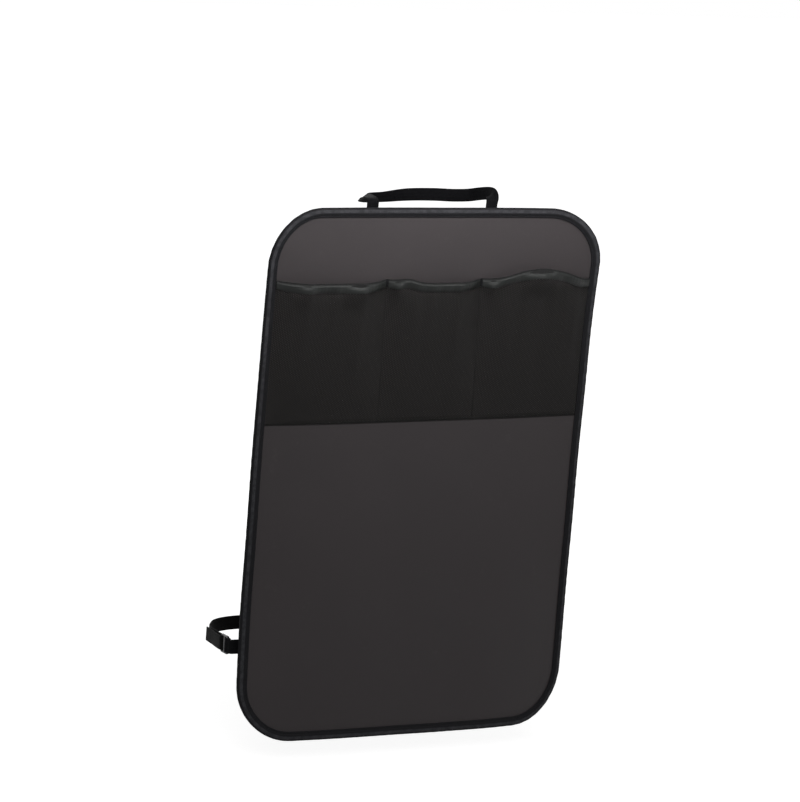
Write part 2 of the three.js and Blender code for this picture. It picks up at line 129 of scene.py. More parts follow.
# Where the band rolls its face up to the light: how far right of the middle, how steeply, how wide.
ROLLS = [
    (-182 * MM, 0.66, 14 * MM), (-110 * MM, 0.84, 22 * MM), (-54 * MM, 0.75, 8 * MM), (79 * MM, 0.75, 8 * MM),
    (142 * MM, 1.05, 24 * MM),
]
ROLL_BACK = 0.42
ROLL_FADE = 26 * MM

# The webbing loop for the headrest posts.
LOOP_LEFT = -88 * MM
LOOP_RIGHT = 77.5 * MM
LOOP_DEPTH = 66 * MM
LOOP_HEIGHT = TOP + 4 * MM
LOOP_WIDTH = 16.2 * MM
LOOP_THICKNESS = 1.3 * MM
LOOP_TAIL = 45 * MM
LOOP_TAIL_RAMP = 12 * MM
LOOP_TAPE_GAP = 3 * MM
LOOP_DRIFT = 3 * MM

# The strap round the seat's waist: a tab, a ladder lock and an elastic.
WAIST_Z = TOP - 550 * MM
TAB_WIDTH = 18 * MM
TAB_THICKNESS = 1.3 * MM
TAB_TAIL = 34 * MM
TAB_REACH = 8.2 * MM
TAB_TURN = 3 * MM
LOCK_SETBACK = 14 * MM
LOCK_BAR = 3 * MM
LOCK_SLOT = 5 * MM
LOCK_PITCH = LOCK_BAR + LOCK_SLOT
LOCK_SIDE = 2 * MM
LOCK_PLAY = 0.5 * MM
LOCK_CORNER = 2 * MM
LOCK_SLOT_CORNER = 0.8 * MM
LOCK_EDGE = 0.45 * MM
LOCK_X = -WIDTH / 2 - TAB_REACH
ELASTIC_WIDTH = 18 * MM
ELASTIC_THICKNESS = 1.4 * MM
ELASTIC_TAIL = 46 * MM
ELASTIC_RISE = 1.5 * MM
WAIST_DEPTH = 138 * MM
RIGHT_TAIL = 32 * MM
RIGHT_INSET = 6 * MM

# How finely cloth is cut into faces.
SHEET_STEP = 4 * MM
SHEET_CORNER_POINTS = 22
EDGE_STEP = 2.5 * MM
TAPE_FACE_STEPS = 15
TAPE_BEND_STEPS = 5
NET_STEP = 2.5 * MM
NET_ROWS = 66
HEM_FOLD = 0.6 * MM
HEM_STEP = 1.5 * MM
BAND_STEP = 1.4 * MM
BAND_FACE_STEPS = 11
BAND_BACK_STEPS = 8
STRAP_STEP = 1.5 * MM
STRAP_LEAST_STEP = 1e-4
SEWN_STEP = 6 * MM
WRAP_KEYS = 9

# How the sheet ripples: puckers along the tape, counted all the way round, and broad soft waves.
RIPPLE_SEED = 7
PUCKER_SERIES = 9
PUCKERS_ROUND = (70, 190)
PUCKER_DEPTH = 0.22 * MM
CORNER_PUCKER_DEPTH = 0.33 * MM
PUCKER_REACH = 16 * MM
WAVE_SERIES = 7
WAVE_SHORTEST = 70 * MM
WAVE_LONGEST = 260 * MM
WAVE_FULL_DEPTH_LENGTH = 400 * MM
WAVE_DEPTH = 0.45 * MM

# Thread.
THREAD_RADIUS = 0.24 * MM
THREAD_SIDES = 5
STITCH_PITCH = 3.2 * MM
STITCH_GAP = 0.7 * MM
# A stitch from end to end: how far along it, how high in thread radii, and how thick.
STITCH_RINGS = [(0, -0.9, 0.7), (0.12, 0.1, 1), (0.5, 0.55, 1.1), (0.88, 0.1, 1), (1, -0.9, 0.7)]
# The pockets' rows: how far from their ends and from the foot, and the bar tacks over the band.
ROW_END = 1 * MM
ROW_STEP = 4 * MM
FOOT_ROW = 2.2 * MM
DIVIDER_ROW = 3 * MM
TACK_Z = MOUTH_Z - 0.42 * BAND_HEIGHT
TACK_WIDTH = 3.2 * MM
TACK_HEIGHT = 0.76 * BAND_HEIGHT
TACK_TURNS = 8
TACK_GAP = 0.1 * MM
# The boxes on the strap ends.
BOX_INSET = 2.2 * MM
BOX_PITCH = 2.4 * MM
BOX_GAP = 0.5 * MM
LOOP_BOX_DROP = 36 * MM
LOOP_BOX_HEIGHT = 13 * MM
TAB_BOX_SHARE = 0.7
ELASTIC_BOX_IN = 22 * MM
ELASTIC_BOX_WIDTH = 18 * MM


def linear(red, green, blue):
    """A screen colour, 0 to 255, as the linear colour that a shader takes."""
    channels = (channel / 255 for channel in (red, green, blue))
    return (*(c / 12.92 if c <= 0.04045 else ((c + 0.055) / 1.055) ** 2.4 for c in channels), 1)


# How the sheet lies

def drape(x, z):
    """How far the sheet's middle surface lies behind its flat centre."""
    side = np.clip((np.abs(x) - FLAT_HALF_WIDTH) / (WIDTH / 2 - FLAT_HALF_WIDTH), 0, 1) ** 2
    up = np.clip((z - MIDDLE_Z) / (HEIGHT / 2), -1, 1)
    fall = SIDE_FALL - FOOT_FALL * up - END_CURL * up ** 2
    towards_corner = np.clip((np.sign(x) * up - LIFT_FROM) / (1 - LIFT_FROM), 0, 1) ** 2
    return side * (fall - np.where(x > 0, HEAD_LIFT, FOOT_LIFT) * towards_corner)


def edge_place(x, z):
    """How far points lie in from the outline, how far along it, and how much of a corner they are in."""
    straight = WIDTH / 2 - CORNER_RADIUS
    across = np.abs(x) - straight
    upright = np.abs(z - MIDDLE_Z) - (HEIGHT / 2 - CORNER_RADIUS)
    beyond = np.hypot(np.maximum(across, 0), np.maximum(upright, 0))
    inset = CORNER_RADIUS - beyond - np.minimum(np.maximum(across, upright), 0)
    turn = np.arctan2(np.maximum(across, 0), np.maximum(upright, 0))
    at_side = across > upright
    along_top = np.where(at_side, straight, np.minimum(np.abs(x), straight))
    down_side = np.where(at_side, np.maximum(-upright, 0), 0)
    along = along_top + CORNER_RADIUS * turn + down_side
    quarter = WIDTH / 2 + HEIGHT / 2 + (math.pi / 2 - 2) * CORNER_RADIUS
    lower = np.where(x > 0, 2 * quarter - along, 2 * quarter + along)
    upper = np.where(x > 0, along, 4 * quarter - along)
    return inset, np.where(z < MIDDLE_Z, lower, upper), np.sin(2 * turn), 4 * quarter


def ripple(x, z):
    """The sheet's small unevenness: broad soft waves, and puckers where the tape is sewn on."""
    inset, along, corner, length = edge_place(x, z)
    chance = np.random.default_rng(RIPPLE_SEED)
    puckers = 0
    for waves in chance.integers(*PUCKERS_ROUND, PUCKER_SERIES):
        shift = chance.uniform(0, 2 * math.pi)
        puckers = puckers + np.sin(2 * math.pi * waves * along / length + shift) / math.sqrt(PUCKER_SERIES)
    depth = PUCKER_DEPTH + (CORNER_PUCKER_DEPTH - PUCKER_DEPTH) * np.clip(corner, 0, 1)
    broad = 0
    for _ in range(WAVE_SERIES):
        heading, span, phase = chance.uniform((0, WAVE_SHORTEST, 0), (math.pi, WAVE_LONGEST, 2 * math.pi))
        place = x * math.cos(heading) + z * math.sin(heading)
        broad = broad + np.sin(2 * math.pi * place / span + phase) * span / WAVE_FULL_DEPTH_LENGTH
    return puckers * depth * np.exp(-np.maximum(inset, 0) / PUCKER_REACH) + broad * WAVE_DEPTH


def sheet_y(x, z):
    """The sheet's middle surface."""
    return MIDDLE_Y + drape(x, z) + ripple(x, z)


def ease(share):
    """A share from 0 to 1 with a smooth start and end."""
    return share ** 2 * (3 - 2 * share)


def in_bay(x):
    """How far x lies from the nearest stitched line, and how wide its bay between two lines is."""
    bay = np.clip(np.searchsorted(BAY_EDGES, x), 1, len(BAY_EDGES) - 1)
    left, right = BAY_EDGES[bay - 1], BAY_EDGES[bay]
    return np.minimum(x - left, right - x), right - left


def bulge(x):
    """How far a pocket stands off at x: 0 at a stitched line, 1 over the level middle of a bay."""
    from_line, bay_width = in_bay(x)
    return np.sin(math.pi / 2 * np.clip(from_line / bay_width / POCKET_FLANK, 0, 1))


def loose(x):
    """How free the band is at x: 0 at a stitched line, rising smoothly to 1 away from it."""
    from_line, _ = in_bay(x)
    return ease(np.clip(from_line / BAND_FREE_FROM, 0, 1))


def humps(x, rows):
    """A sum of bell curves. Each row holds a bell's place, height and width."""
    return sum(height * np.exp(-(((x - place) / width) ** 2)) for place, height, width in rows)


def mouth_z(x):
    """The pockets' upper edge, with its sag and its ruffles."""
    return MOUTH_Z + bulge(x) * (humps(x, RUFFLES) - MOUTH_SAG)


def roll(x, z):
    """How far the band and the net under it stand out further, where the band rolls its face up."""
    steepness = humps(x, ROLLS) - ROLL_BACK
    below = mouth_z(x) - z
    fade = np.clip(1 - (below - BAND_HEIGHT) / ROLL_FADE, 0, 1)
    shiny = np.clip(below - BAND_LIP, 0, BAND_HEIGHT - BAND_LIP)
    return steepness * loose(x) * shiny * ease(fade)


def foot_z(x):
    """The pockets' foot, which is sewn on a little lower at the left."""
    return MOUTH_Z - POCKET_HEIGHT + FOOT_SLOPE * x


def net_y(x, z):
    """The net's middle surface: sewn flat at the foot, and standing off the sheet at the mouth."""
    opening = np.clip((z - foot_z(x)) / (mouth_z(x) - foot_z(x)), 0, 1)
    standoff = PIECE_GAP + opening * (BAND_THICKNESS + PIECE_GAP + POCKET_DEPTH * bulge(x))
    folds = sum(depth * np.sin(x * 2 * math.pi / pitch + lean * z) for depth, pitch, lean in NET_FOLDS)
    slack = opening * bulge(x) * folds
    return sheet_y(x, z) - HALF_SHEET - standoff - NET_THICKNESS / 2 + slack - roll(x, z)


# Meshes

def finish_piece(obj, material, replaced=()):
    """Puts a piece in the scene with its material and its place on the body."""
    bpy.context.scene.collection.objects.link(obj)
    obj.data.materials.append(material)
    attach(obj, "root")
    if replaced:
        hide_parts(*replaced)


def mesh_object(name, points, faces, corner_uv=None):
    """A smooth mesh. corner_uv gives each corner of each face its place on the flat cloth."""
    mesh = bpy.data.meshes.new(name)
    mesh.from_pydata(points.reshape(-1, 3).tolist(), [], faces)
    if corner_uv is not None:
        layer = mesh.uv_layers.new(name="cloth")
        layer.data.foreach_set("uv", np.asarray(corner_uv, np.float32).ravel())
    mesh.polygons.foreach_set("use_smooth", [True] * len(mesh.polygons))
    return bpy.data.objects.new(name, mesh)


def grid_object(name, points, uv, wrap_rows=False, wrap_columns=False):
    """A surface over rows and columns of points. uv has one more row or column where the surface wraps."""
    rows, columns = points.shape[:2]
    i, j = np.meshgrid(
        np.arange(rows if wrap_rows else rows - 1),
        np.arange(columns if wrap_columns else columns - 1),
        indexing="ij",
    )
    i, j = i.ravel(), j.ravel()
    corners = [(i, j), (i + 1, j), (i + 1, j + 1), (i, j + 1)]
    faces = np.stack([(a % rows) * columns + b % columns for a, b in corners], axis=1)
    corner_uv = np.stack([uv[a, b] for a, b in corners], axis=1)
    faces, corner_uv = faces.tolist(), corner_uv.reshape(-1, 2).tolist()
    if wrap_columns and not wrap_rows:
        for row, order in ((0, -1), (rows - 1, 1)):
            faces.append([row * columns + column for column in range(columns)][::order])
            corner_uv += [[0, 0]] * columns
    return mesh_object(name, points, faces, corner_uv)


def swept(name, sections, path, closed=False):
    """A closed section swept along a path. sections[i] are the points of station i."""
    section_steps = np.linalg.norm(np.diff(sections[0], axis=0, append=sections[0][:1]), axis=1)
    around = np.concatenate([[0], np.cumsum(section_steps)])
    steps = np.linalg.norm(np.diff(path, axis=0, append=path[:1] if closed else path[-1:]), axis=1)
    along = np.concatenate([[0], np.cumsum(steps)])[: len(path) + (1 if closed else 0)]
    uv = np.stack(np.meshgrid(around, along), axis=-1)
    return grid_object(name, np.asarray(sections), uv, wrap_rows=closed, wrap_columns=True)


def rounded_section(width, thickness, arc_steps=4, flat_steps=6):
    """A flat strap's section, as points across and through it, with round edges."""
    radius = thickness / 2
    arc = [math.pi / 2 - math.pi * i / arc_steps for i in range(arc_steps + 1)]
    right = [(width / 2 - radius + radius * math.cos(a), radius * math.sin(a)) for a in arc]
    flat = [((0.5 - i / flat_steps) * (width - 2 * radius), -radius) for i in range(1, flat_steps)]
    left = [(-across, -through) for across, through in right]
    back = [(-across, -through) for across, through in flat]
    return np.array(right + flat + left + back)


def catmull_rom(points, place):
    """The point at a place along a centripetal Catmull-Rom curve, counted in keys from its start."""
    last = len(points) - 1
    i = min(int(place), last - 1)
    before = points[i - 1] if i > 0 else 2 * points[0] - points[1]
    after = points[i + 2] if i + 2 <= last else 2 * points[last] - points[last - 1]
    a, b = points[i], points[i + 1]
    pairs = ((before, a), (a, b), (b, after))
    step_in, step, step_out = (max(np.linalg.norm(q - p) ** 0.5, STRAP_LEAST_STEP) for p, q in pairs)
    leave = ((a - before) / step_in - (b - before) / (step_in + step) + (b - a) / step) * step
    arrive = ((b - a) / step - (after - a) / (step + step_out) + (after - b) / step_out) * step
    t = place - i
    return (a * (2 * t ** 3 - 3 * t ** 2 + 1) + leave * (t ** 3 - 2 * t ** 2 + t)
            + b * (3 * t ** 2 - 2 * t ** 3) + arrive * (t ** 3 - t ** 2))


def strap(name, keys, width, thickness):
    """A strap and its length. Each key holds a point of its middle line and the way that its width points."""
    points = np.array([key[:3] for key in keys])
    across_keys = np.array([key[3:] for key in keys])
    spans = np.linalg.norm(np.diff(points, axis=0), axis=1)
    places = np.concatenate([
        i + np.arange(steps) / steps
        for i, steps in enumerate(np.maximum(1, np.ceil(spans / STRAP_STEP)).astype(int))
    ] + [[len(points) - 1]])
    path = np.array([catmull_rom(points, place) for place in places])
    tangents = np.gradient(path, axis=0)
    tangents /= np.linalg.norm(tangents, axis=1, keepdims=True)
    before = np.minimum(places.astype(int), len(points) - 2)
    share = (places - before)[:, None]
    across = across_keys[before] * (1 - share) + across_keys[before + 1] * share
    across -= tangents * (across * tangents).sum(axis=1, keepdims=True)
    across /= np.linalg.norm(across, axis=1, keepdims=True)
    normals = np.cross(tangents, across)
    section = rounded_section(width, thickness)
    sideways = across[:, None] * section[None, :, :1]
    sections = path[:, None] + sideways + normals[:, None] * section[None, :, 1:]
    length = float(np.linalg.norm(np.diff(path, axis=0), axis=1).sum())
    return swept(name, sections, path), length


# Materials

class Shader:
    """A material's nodes, with short calls for the ones that the materials share."""

    def __init__(self, name):
        self.material = bpy.data.materials.new(name)
        self.material.use_nodes = True
        self.tree = self.material.node_tree
        self.principled = self.tree.nodes["Principled BSDF"]
        flat = self.node("UVMap", {}, uv_map="cloth").outputs["UV"]
        split = self.node("SeparateXYZ", {"Vector": flat})
        self.u, self.v = split.outputs["X"], split.outputs["Y"]
        self.place = self.node("TexCoord", {}).outputs["Object"]

    def node(self, kind, inputs, **settings):
        node = self.tree.nodes.new(f"ShaderNode{kind}")
        for key, value in settings.items():
            setattr(node, key, value)
        self.fill(node, inputs)
        return node

    def fill(self, node, inputs):
        for key, value in inputs.items():
            if isinstance(value, bpy.types.NodeSocket):
                self.tree.links.new(value, node.inputs[key])
            else:
                node.inputs[key].default_value = value

    def math(self, operation, a, b=0.0):
        return self.node("Math", {0: a, 1: b}, operation=operation).outputs[0]

    def wave(self, coordinate, pitch, shift=0.0):
        """A sine of that wavelength, from -1 to 1."""
        turns = self.node("Math", {0: coordinate, 1: 2 * math.pi / pitch, 2: shift}, operation="MULTIPLY_ADD")
        return self.math("SINE", turns.outputs[0])

    def noise(self, scale, detail, roughness=0.5):
        inputs = {"Vector": self.place, "Scale": scale, "Detail": detail, "Roughness": roughness}
        return self.node("TexNoise", inputs).outputs["Fac"]

    def spread(self, value, low, high, to_low, to_high):
        inputs = {"Value": value, "From Min": low, "From Max": high, "To Min": to_low, "To Max": to_high}
        return self.node("MapRange", inputs, interpolation_type="SMOOTHSTEP").outputs["Result"]

    def mix(self, factor, a, b):
        node = self.node("Mix", {}, data_type="RGBA")
        self.fill(node, {0: factor, 6: a, 7: b})
        return node.outputs[2]

    def weave(self, pitch):
        """Height of a plain weave: threads along and across, each over and under in turn."""
        warp, weft = self.wave(self.u, 2 * pitch), self.wave(self.v, 2 * pitch)
        over = self.math("GREATER_THAN", self.math("MULTIPLY", warp, weft), 0.0)
        tops = self.math("MULTIPLY", self.math("ABSOLUTE", warp), over)
        unders = self.math("MULTIPLY", self.math("ABSOLUTE", weft), self.math("SUBTRACT", 1.0, over))
        return self.math("ADD", tops, unders)

    def bump(self, height, distance, strength, under=None):
        inputs = {"Height": height, "Distance": distance, "Strength": strength}
        if under:
            inputs["Normal"] = under
        return self.node("Bump", inputs).outputs["Normal"]

    def surface(self, **inputs):
        self.fill(self.principled, {name.replace("_", " "): value for name, value in inputs.items()})
        return self.material


def coated_fabric():
    """Dark charcoal cloth with a fine weave under a soft coating, faintly scuffed."""
    shader = Shader("coated_fabric")
    cloudy = shader.noise(7.0, 3.0)
    scuffs = shader.spread(shader.noise(38.0, 6.0, 0.65), 0.6, 0.75, 0.0, 1.0)
    colour = shader.mix(cloudy, linear(47, 44, 45), linear(55, 51, 52))
    colour = shader.mix(shader.math("MULTIPLY", scuffs, 0.2), colour, linear(70, 66, 66))
    grain = shader.bump(shader.weave(0.55 * MM), 0.06 * MM, 0.5)
    soft = shader.bump(shader.noise(160.0, 3.0), 0.15 * MM, 0.3, grain)
    roughness = shader.spread(cloudy, 0.3, 0.7, 0.52, 0.6)
    return shader.surface(
        Base_Color=colour, Roughness=roughness, Normal=soft, Specular_IOR_Level=0.12,
        Sheen_Weight=0.02, Sheen_Roughness=0.5,
    )


def binding_tape():
    """Tape with fine cross ribs and a fuzzy grain, and a painted highlight: a pale stripe along its crown."""
    shader = Shader("binding_tape")
    ribs = shader.wave(shader.v, 1.15 * MM)
    fuzz = shader.noise(900.0, 2.0)
    highlight_streaks = shader.noise(150.0, 3.0)
    dark = shader.mix(fuzz, linear(14, 14, 15), linear(32, 32, 34))
    pale = shader.mix(fuzz, linear(38, 38, 40), linear(67, 67, 70))
    fold = float(np.linalg.norm(np.diff(tape_profile(), axis=0), axis=1).sum())
    from_edge = shader.node("Math", {0: shader.u, 1: fold}, operation="PINGPONG").outputs[0]
    # Painted highlight: a pale stripe along the crown of both faces, made stronger or weaker by noise.
    crown = shader.math(
        "MULTIPLY",
        shader.spread(from_edge, *TAPE_HIGHLIGHT_START, 0.0, 1.0),
        shader.spread(from_edge, *TAPE_HIGHLIGHT_END, 1.0, 0.0),
    )
    crown = shader.math("MULTIPLY", crown, shader.spread(highlight_streaks, 0.3, 0.7, 0.45, 1.0))
    colour = shader.mix(crown, dark, pale)
    colour = shader.mix(shader.spread(ribs, -1.0, 1.0, 0.0, 0.12), colour, linear(60, 60, 64))
    normal = shader.bump(ribs, 0.1 * MM, 0.6)
    normal = shader.bump(fuzz, 0.2 * MM, 0.5, normal)
    return shader.surface(
        Base_Color=colour, Roughness=0.62, Normal=normal, Specular_IOR_Level=0.03,
        Sheen_Weight=0.006, Sheen_Roughness=0.4,
    )


def net():
    """Fine knitted net: rows of round holes, set off from row to row."""
    shader = Shader("net")
    first = shader.wave(shader.u, NET_HOLE_PITCH, math.pi / 2)
    half = shader.wave(shader.u, 2 * NET_HOLE_PITCH, math.pi / 2)
    tall = shader.wave(shader.v, 2 * NET_HOLE_PITCH / math.sqrt(3), math.pi / 2)
    height = shader.math("ADD", first, shader.math("MULTIPLY", 2.0, shader.math("MULTIPLY", half, tall)))
    alpha = shader.spread(height, 0.1, 0.6, 1.0, 0.0)
    yarn = shader.noise(1500.0, 2.0)
    colour = shader.mix(yarn, linear(12, 12, 11), linear(32, 31, 30))
    normal = shader.bump(height, 0.25 * MM, -0.6)
    return shader.surface(
        Base_Color=colour, Roughness=0.6, Normal=normal, Alpha=alpha, Specular_IOR_Level=0.1,
        Sheen_Weight=0.03, Sheen_Roughness=0.35,
    )


def elastic_band():
    """Shiny fold-over elastic: satin ribs along it, fine threads across, and a matte lip and back, painted
    dark as the shade in the gap of the pocket's mouth.
    """
    shader = Shader("elastic_band")
    ribs = shader.wave(shader.u, 0.9 * MM)
    threads = shader.wave(shader.v, 0.7 * MM)
    tone = shader.noise(60.0, 2.0)
    lip = BAND_HEIGHT - BAND_LIP
    lip_fade = 0.5 * MM
    dull_shaded_lip = shader.spread(shader.u, lip, lip + lip_fade, 0.0, 1.0)
    colour = shader.mix(tone, linear(16, 18, 17), linear(28, 30, 29))
    # Painted shade: the lip and back take a darker colour, standing in for the shadow in the pocket's mouth
    # behind the band. The same mask makes them rougher.
    colour = shader.mix(dull_shaded_lip, colour, linear(14, 14, 14))
    normal = shader.bump(ribs, 0.08 * MM, 0.5)
    normal = shader.bump(threads, 0.05 * MM, 0.4, normal)
    roughness = shader.math("ADD", shader.math("MULTIPLY", dull_shaded_lip, 0.4), 0.34)
    return shader.surface(
        Base_Color=colour, Roughness=roughness, Normal=normal, Specular_IOR_Level=0.16,
        Sheen_Weight=0.008, Sheen_Roughness=0.3, Anisotropic=0.4,
    )


def webbing():
    """Black webbing, woven in a herringbone."""
    shader = Shader("webbing")
    folded = shader.node("Math", {0: shader.u, 1: 2.6 * MM}, operation="PINGPONG").outputs[0]
    ribs = shader.wave(shader.math("ADD", folded, shader.v), 1.3 * MM)
    yarn = shader.noise(1100.0, 2.0)
    colour = shader.mix(yarn, linear(4, 4, 5), linear(17, 17, 19))
    normal = shader.bump(ribs, 0.18 * MM, 0.7)
    return shader.surface(
        Base_Color=colour, Roughness=0.66, Normal=normal, Specular_IOR_Level=0.03,
        Sheen_Weight=0.0015, Sheen_Roughness=0.4,
    )


def strap_elastic():
    """Black knitted elastic: ribs along it, with a fine cross weave between them."""
    shader = Shader("strap_elastic")
    ribs = shader.wave(shader.u, 1.4 * MM)
    picks = shader.wave(shader.v, 0.8 * MM)
    yarn = shader.noise(1100.0, 2.0)
    colour = shader.mix(yarn, linear(6, 6, 6), linear(22, 22, 22))
    normal = shader.bump(ribs, 0.2 * MM, 0.6)
    normal = shader.bump(picks, 0.08 * MM, 0.5, normal)
    return shader.surface(
        Base_Color=colour, Roughness=0.6, Normal=normal, Specular_IOR_Level=0.03,
        Sheen_Weight=0.01, Sheen_Roughness=0.4,
    )


def plastic():
    """Black moulded plastic with a fine grain, rubbed smoother in places."""
    shader = Shader("plastic")
    rubbed = shader.spread(shader.noise(120.0, 4.0), 0.4, 0.7, 0.24, 0.4)
    grain = shader.noise(2600.0, 2.0)
    colour = shader.mix(grain, linear(12, 13, 15), linear(24, 25, 28))
    normal = shader.bump(grain, 0.04 * MM, 0.4)
    return shader.surface(Base_Color=colour, Roughness=rubbed, Normal=normal, Specular_IOR_Level=0.3)


def thread():
    """Black polyester sewing thread, twisted."""
    shader = Shader("thread")
    twist = shader.noise(3200.0, 2.0)
    colour = shader.mix(twist, linear(6, 6, 7), linear(24, 24, 26))
    normal = shader.bump(twist, 0.08 * MM, 0.6)
    return shader.surface(Base_Color=colour, Roughness=0.6, Normal=normal, Specular_IOR_Level=0.08)


# The sheet, its tape and its pockets

def evenly(start, end, step):
    """Evenly spaced numbers from start to end, no further apart than a step."""
    return np.linspace(start, end, max(2, math.ceil(abs(end - start) / step) + 1))


def make_sheet(material):
    """The coated sheet, whose edge lies inside the tape."""
    inset = TAPE_THICKNESS + PIECE_GAP
    radius = CORNER_RADIUS - inset
    straight = WIDTH / 2 - inset - radius
    half_height = HEIGHT / 2 - inset
    turn = np.linspace(0, math.pi / 2, SHEET_CORNER_POINTS)[1:]
    corner_x = straight + radius * np.sin(turn)
    corner_half = half_height - radius + radius * np.cos(turn)
    middle = evenly(-straight, straight, SHEET_STEP)
    x = np.concatenate([-corner_x[::-1], middle, corner_x])
    half = np.concatenate([corner_half[::-1], np.full(len(middle), half_height), corner_half])
    down = evenly(1, -1, 2 * SHEET_STEP / HEIGHT)
    xs = np.repeat(x[:, None], len(down), axis=1)
    zs = MIDDLE_Z + half[:, None] * down[None, :]
    points = np.stack([xs, sheet_y(xs, zs), zs], axis=-1)
    sheet = grid_object("sheet", points, np.stack([xs, zs], axis=-1))
    solidify = sheet.modifiers.new("thickness", "SOLIDIFY")
    solidify.thickness = SHEET_THICKNESS
    solidify.offset = 0
    finish_piece(sheet, material, ["panel"])


def outline():
    """Points round the sheet's outline, clockwise from the top right corner, with the way in from each."""
    radius = CORNER_RADIUS
    right, high = WIDTH / 2 - radius, HEIGHT / 2 - radius
    points_round = math.ceil(radius * math.pi / 2 / EDGE_STEP)
    stations = []
    corners = ((right, high, 90), (right, -high, 0), (-right, -high, -90), (-right, high, -180))
    for corner_x, corner_z, start in corners:
        for turn in np.radians(np.linspace(start, start - 90, points_round)):
            out_x, out_z = math.cos(turn), math.sin(turn)
            stations.append((corner_x + radius * out_x, corner_z + radius * out_z, -out_x, -out_z))
        run = 2 * (high if start in (90, -90) else right)
        x, z, in_x, in_z = stations[-1]
        for along in evenly(0, run, EDGE_STEP)[1:-1]:
            stations.append((x - in_z * along, z + in_x * along, in_x, in_z))
    return np.array(stations) + [0, MIDDLE_Z, 0, 0]


def tape_skin(inset):
    """How far the tape's outer face stands from the sheet's middle: crowned, and drawn down at its seam."""
    crown = TAPE_CROWN * np.sin(math.pi * np.clip(inset / TAPE_WIDTH, 0, 1)) ** TAPE_CROWN_POWER
    seam = TAPE_SEAM_DEPTH * np.exp(-(((inset - TAPE_WIDTH + TAPE_SEAM) / TAPE_SEAM_WIDTH) ** 2))
    return TAPE_OUTER + crown - seam


def tape_profile():
    """The tape's outer face from its inner edge to the middle of its fold, as insets and lifts."""
    bend = np.linspace(0.2, math.pi / 2, TAPE_BEND_STEPS)
    face = np.linspace(TAPE_WIDTH, TAPE_OUTER, TAPE_FACE_STEPS)
    insets = np.concatenate([face, TAPE_OUTER * (1 - np.sin(bend))])
    lifts = np.concatenate([tape_skin(face), tape_skin(TAPE_OUTER) * np.cos(bend)])
    return np.stack([insets, lifts], axis=1)


def make_tape(material):
    """The tape folded over the sheet's edge, all the way round."""
    outer = tape_profile()
    back = outer[::-1][1:] * [1, -1]
    inner = np.array([
        [TAPE_WIDTH, -TAPE_INNER],
        [TAPE_THICKNESS, -TAPE_INNER],
        [TAPE_THICKNESS, TAPE_INNER],
        [TAPE_WIDTH, TAPE_INNER],
    ])
    section = np.concatenate([outer, back, inner])
    stations = outline()
    x = stations[:, None, 0] + stations[:, None, 2] * section[None, :, 0]
    z = stations[:, None, 1] + stations[:, None, 3] * section[None, :, 0]
    points = np.stack([x, sheet_y(x, z) + section[None, :, 1], z], axis=-1)
    tape = swept("edge_tape", points, points[:, TAPE_FACE_STEPS], closed=True)
    finish_piece(tape, material, ["edge_binding"])


def bay_columns(step):
    """Places across the pockets, evenly spaced in each bay, with one on each stitched line."""
    bays = [evenly(left, right, step)[:-1] for left, right in zip(BAY_EDGES, BAY_EDGES[1:])]
    return np.concatenate([*bays, [POCKET_SIDE]])


def make_net(material):
    """The pockets' net, hemmed under at its foot, with its upper edge inside the band."""
    columns = bay_columns(NET_STEP)
    top = mouth_z(columns) - BAND_THICKNESS - PIECE_GAP
    hem = evenly(NET_HEM, HEM_FOLD, HEM_STEP)
    face = np.linspace(0, 1, NET_ROWS)
    x = np.repeat(columns[:, None], len(hem) + len(face), axis=1)
    foot = foot_z(columns)[:, None]
    front_z = foot + (top[:, None] - foot) * face[None, :]
    hem_z = foot + hem[None, :]
    z = np.concatenate([hem_z, front_z], axis=1)
    y = net_y(x, z)
    y[:, :len(hem)] = sheet_y(x[:, :len(hem)], hem_z) - HALF_SHEET - NET_HEM_GAP
    along = np.concatenate([-hem, front_z[0] - foot[0]])
    uv = np.stack([x, np.repeat(along[None, :], len(columns), axis=0)], axis=-1)
    pockets = grid_object("pocket_net", np.stack([x, y, z], axis=-1), uv)
    finish_piece(pockets, material, ["pocket_mesh"])


def make_band(material):
    """The elastic folded over the net's upper edge, gathered, with a lip behind its shiny face; the lip's
    material is matte and painted dark as shade.
    """
    inner = NET_THICKNESS / 2 + PIECE_GAP
    outer = inner + BAND_THICKNESS
    between = (outer + inner) / 2
    heights = np.linspace(-BAND_HEIGHT, -BAND_LIP, BAND_FACE_STEPS)
    skin = [(outer, height) for height in heights]
    skin += [(between, BAND_EDGE - BAND_LIP), (between, -BAND_EDGE), (inner, 0)]
    skin += [(-inner, 0), (-between, -BAND_EDGE)]
    skin += [(-outer, height) for height in np.linspace(-outer, -BAND_HEIGHT, BAND_BACK_STEPS)]
    lining = [
        (-inner, -BAND_HEIGHT), (-inner, -BAND_THICKNESS), (inner, -BAND_THICKNESS), (inner, -BAND_HEIGHT)]
    section = np.array(skin + lining)
    crown = np.zeros(len(section))
    up_face = (heights + BAND_HEIGHT) / (BAND_HEIGHT - BAND_LIP)
    crown[:len(heights)] = np.clip(np.sin(math.pi * up_face), 0, 1) ** BAND_CROWN_POWER
    columns = bay_columns(BAND_STEP)
    free = (BAND_PINCH + (1 - BAND_PINCH) * loose(columns))[:, None]
    z = mouth_z(columns)[:, None] + section[None, :, 1] * (1 - BAND_NARROWING + BAND_NARROWING * free)
    x = np.repeat(columns[:, None], len(section), axis=1)
    out = section[None, :, 0] + BAND_CROWN * crown[None, :] * free
    uneven = 3 * np.sin(40 * x)
    gathers = GATHER_DEPTH * np.sin(x * 2 * math.pi / GATHER_PITCH + uneven) * loose(x)
    y = net_y(x, z) - out + gathers
    points = np.stack([x, y, z], axis=-1)
    band = swept("pocket_elastic", points, points[:, len(heights)])
    finish_piece(band, material, ["pocket_band"])


# Straps

